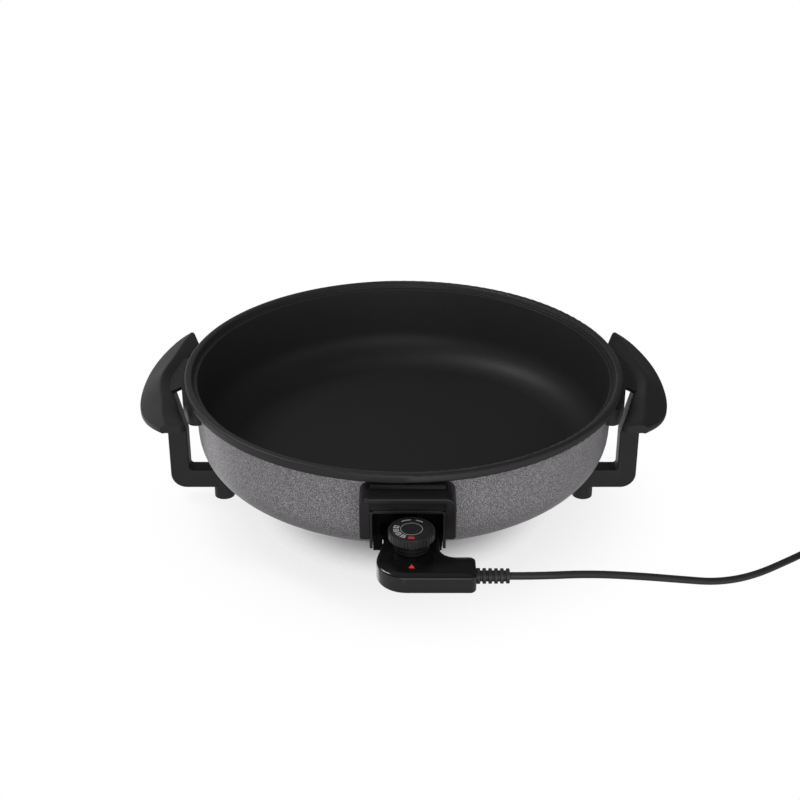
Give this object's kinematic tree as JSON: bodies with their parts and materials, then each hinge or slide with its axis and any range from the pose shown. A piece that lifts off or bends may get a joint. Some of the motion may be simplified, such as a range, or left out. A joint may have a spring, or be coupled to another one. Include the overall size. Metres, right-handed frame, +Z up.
{
  "type": "electric grill pan",
  "caption": "Round electric grill pan: cast coated pan on moulded side handles and feet, with a plug-in thermostat, dial and mains lead.",
  "frame": {"origin": "on the pan's axis at table level", "axes": "+Z up along the pan's axis, -Y towards the thermostat, +X towards the side where the mains lead leaves"},
  "size_m": [0.7319, 0.503, 0.146],
  "materials": {
    "coated_cast": "dark speckled non-stick coat on cast aluminium",
    "black_moulding": "black phenolic moulding, fine matte grain",
    "case_plastic": "black moulded case, satin",
    "dial_plastic": "black fluted knob, satin",
    "red_lens": "red translucent plastic",
    "steel": "plain steel",
    "frame_steel": "dark steel sheet",
    "sheath": "steel sheath of the heating element",
    "nickel": "nickel plated contacts",
    "brass": "plain brass",
    "ceramic": "unglazed ceramic",
    "lamp_glass": "small clear bulb",
    "cord_rubber": "black cord sheath, satin",
    "lead_plastic": "insulated leads",
    "pad_rubber": "rubber pads"
  },
  "bodies": {
    "pan": {"pan": "coated_cast", "heating_element": "sheath", "element_clips": "steel", "clip_screws": "steel", "terminal_pins": "nickel", "pin_insulators": "ceramic", "earth_plate": "steel", "plate_screws": "steel", "inlet_guard": "black_moulding", "inlet_frame": "frame_steel", "right_handle": "black_moulding", "left_handle": "black_moulding", "rim_screws": "steel", "front_foot": "black_moulding", "rear_foot": "black_moulding", "foot_washers": "steel", "foot_screws": "steel", "foot_pads": "pad_rubber"},
    "thermostat": {"thermostat_top": "case_plastic", "thermostat_bottom": "case_plastic", "case_screws": "steel", "contact_block": "ceramic", "contact_sockets": "brass", "probe_tube": "nickel", "probe_rod": "brass", "earth_springs": "nickel", "dial_bush": "brass", "fixed_contact": "brass", "pointer_lens": "red_lens", "neon_lamp": "lamp_glass", "cord_clamp": "steel", "clamp_screws": "steel", "internal_leads": "lead_plastic", "cord_tail": "cord_rubber", "strain_relief": "cord_rubber", "supply_cord": "cord_rubber", "cord_coil": "cord_rubber", "cord_tie": "case_plastic", "plug_lead": "cord_rubber", "plug_body": "cord_rubber", "plug_pins": "nickel", "earth_strips": "nickel"},
    "dial": {"dial_knob": "dial_plastic", "dial_cap": "dial_plastic", "dial_spindle": "brass"},
    "contact_lever": {"contact_lever": "brass"}
  },
  "joints": [
    {"name": "thermostat_pull", "type": "slide", "parent": "pan", "child": "thermostat", "axis": [0, -1, 0], "range_m": [0, 0.09]},
    {"name": "dial_turn", "type": "hinge", "parent": "thermostat", "child": "dial", "pos_m": [0.006, -0.25, 0.111], "axis": [0, 0, 1], "range_deg": [0, 250]},
    {"name": "contact_lever_swing", "type": "hinge", "parent": "thermostat", "child": "contact_lever", "pos_m": [0.0148, -0.268, 0.089], "axis": [0, 0, -1], "range_deg": [0, 7.98]}
  ],
  "couplings": [
    {"joint": "contact_lever_swing", "follows": "dial_turn", "ratio": 0.031934}
  ]
}
